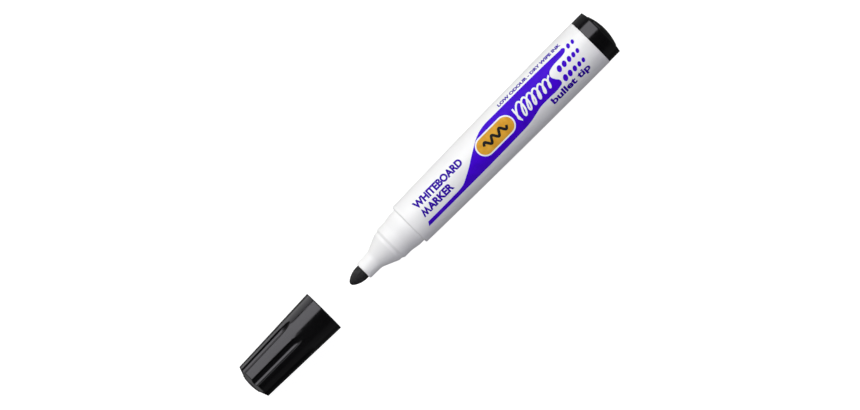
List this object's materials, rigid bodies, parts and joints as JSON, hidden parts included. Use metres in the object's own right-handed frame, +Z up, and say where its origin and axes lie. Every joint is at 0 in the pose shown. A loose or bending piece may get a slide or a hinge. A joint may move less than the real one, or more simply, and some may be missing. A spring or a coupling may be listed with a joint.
{
  "type": "whiteboard marker",
  "caption": "Bullet-tip whiteboard marker with a round tapered barrel, stepped nozzle, domed tail plug and fluted slide-off cap held in line in front of the nib.",
  "frame": {"origin": "on the surface that the marker lies on, under the middle of its length with the cap off", "axes": "+X along the marker from the cap and nib to the tail, +Z up through the middle of the print, +Y to the left seen from the cap looking along +X"},
  "size_m": [0.176, 0.019, 0.0191],
  "materials": {
    "white_plastic": "satin",
    "nozzle_plastic": "satin",
    "black_plastic": "gloss",
    "liner_plastic": "satin",
    "nib_fibre": "matte",
    "reservoir_fibre": "matte",
    "reservoir_film": "gloss",
    "print_ink": "satin",
    "print_accent": "satin"
  },
  "bodies": {
    "marker": {"barrel": "white_plastic", "nozzle": "nozzle_plastic", "nib": "nib_fibre", "reservoir_core": "reservoir_fibre", "reservoir_wrap": "reservoir_film", "tail_plug": "black_plastic"},
    "cap": {"cap_shell": "black_plastic", "cap_liner": "liner_plastic"}
  },
  "joints": [
    {"name": "cap_slide", "type": "slide", "parent": "marker", "child": "cap", "axis": [1, 0, 0], "range_m": [0, 0.0422]}
  ]
}
